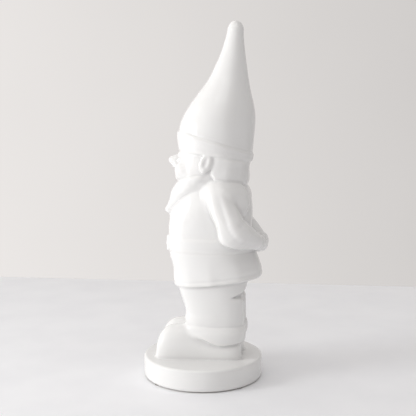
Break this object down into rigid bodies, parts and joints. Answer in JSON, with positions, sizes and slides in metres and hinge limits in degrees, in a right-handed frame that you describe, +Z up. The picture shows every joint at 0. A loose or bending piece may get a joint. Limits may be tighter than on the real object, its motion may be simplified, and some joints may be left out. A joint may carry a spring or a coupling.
{
  "type": "garden gnome",
  "caption": "White glazed ceramic garden gnome with a tall pointed hat, hands clasped behind its back, standing on a round plinth.",
  "frame": {"origin": "centre of the plinth's underside, on the plane that the felt pads rest on", "axes": "+Z up, the gnome faces -Y, its left side is +X"},
  "size_m": [0.136, 0.1418, 0.4],
  "materials": {
    "white_glaze": "gloss",
    "felt": "matte"
  },
  "bodies": {
    "root": {"plinth": "white_glaze", "foot_pad_1": "felt", "foot_pad_2": "felt", "foot_pad_3": "felt", "foot_pad_4": "felt", "boot_left": "white_glaze", "trouser_cuff_left": "white_glaze", "trouser_leg_left": "white_glaze", "sleeve_left": "white_glaze", "hand_left": "white_glaze", "ear_left": "white_glaze", "boot_right": "white_glaze", "trouser_cuff_right": "white_glaze", "trouser_leg_right": "white_glaze", "sleeve_right": "white_glaze", "hand_right": "white_glaze", "ear_right": "white_glaze", "jacket_skirt": "white_glaze", "belt": "white_glaze", "belt_buckle": "white_glaze", "jacket_body": "white_glaze", "beard": "white_glaze", "head": "white_glaze", "hair": "white_glaze", "nose": "white_glaze", "hat_band": "white_glaze", "hat": "white_glaze"}
  },
  "joints": []
}
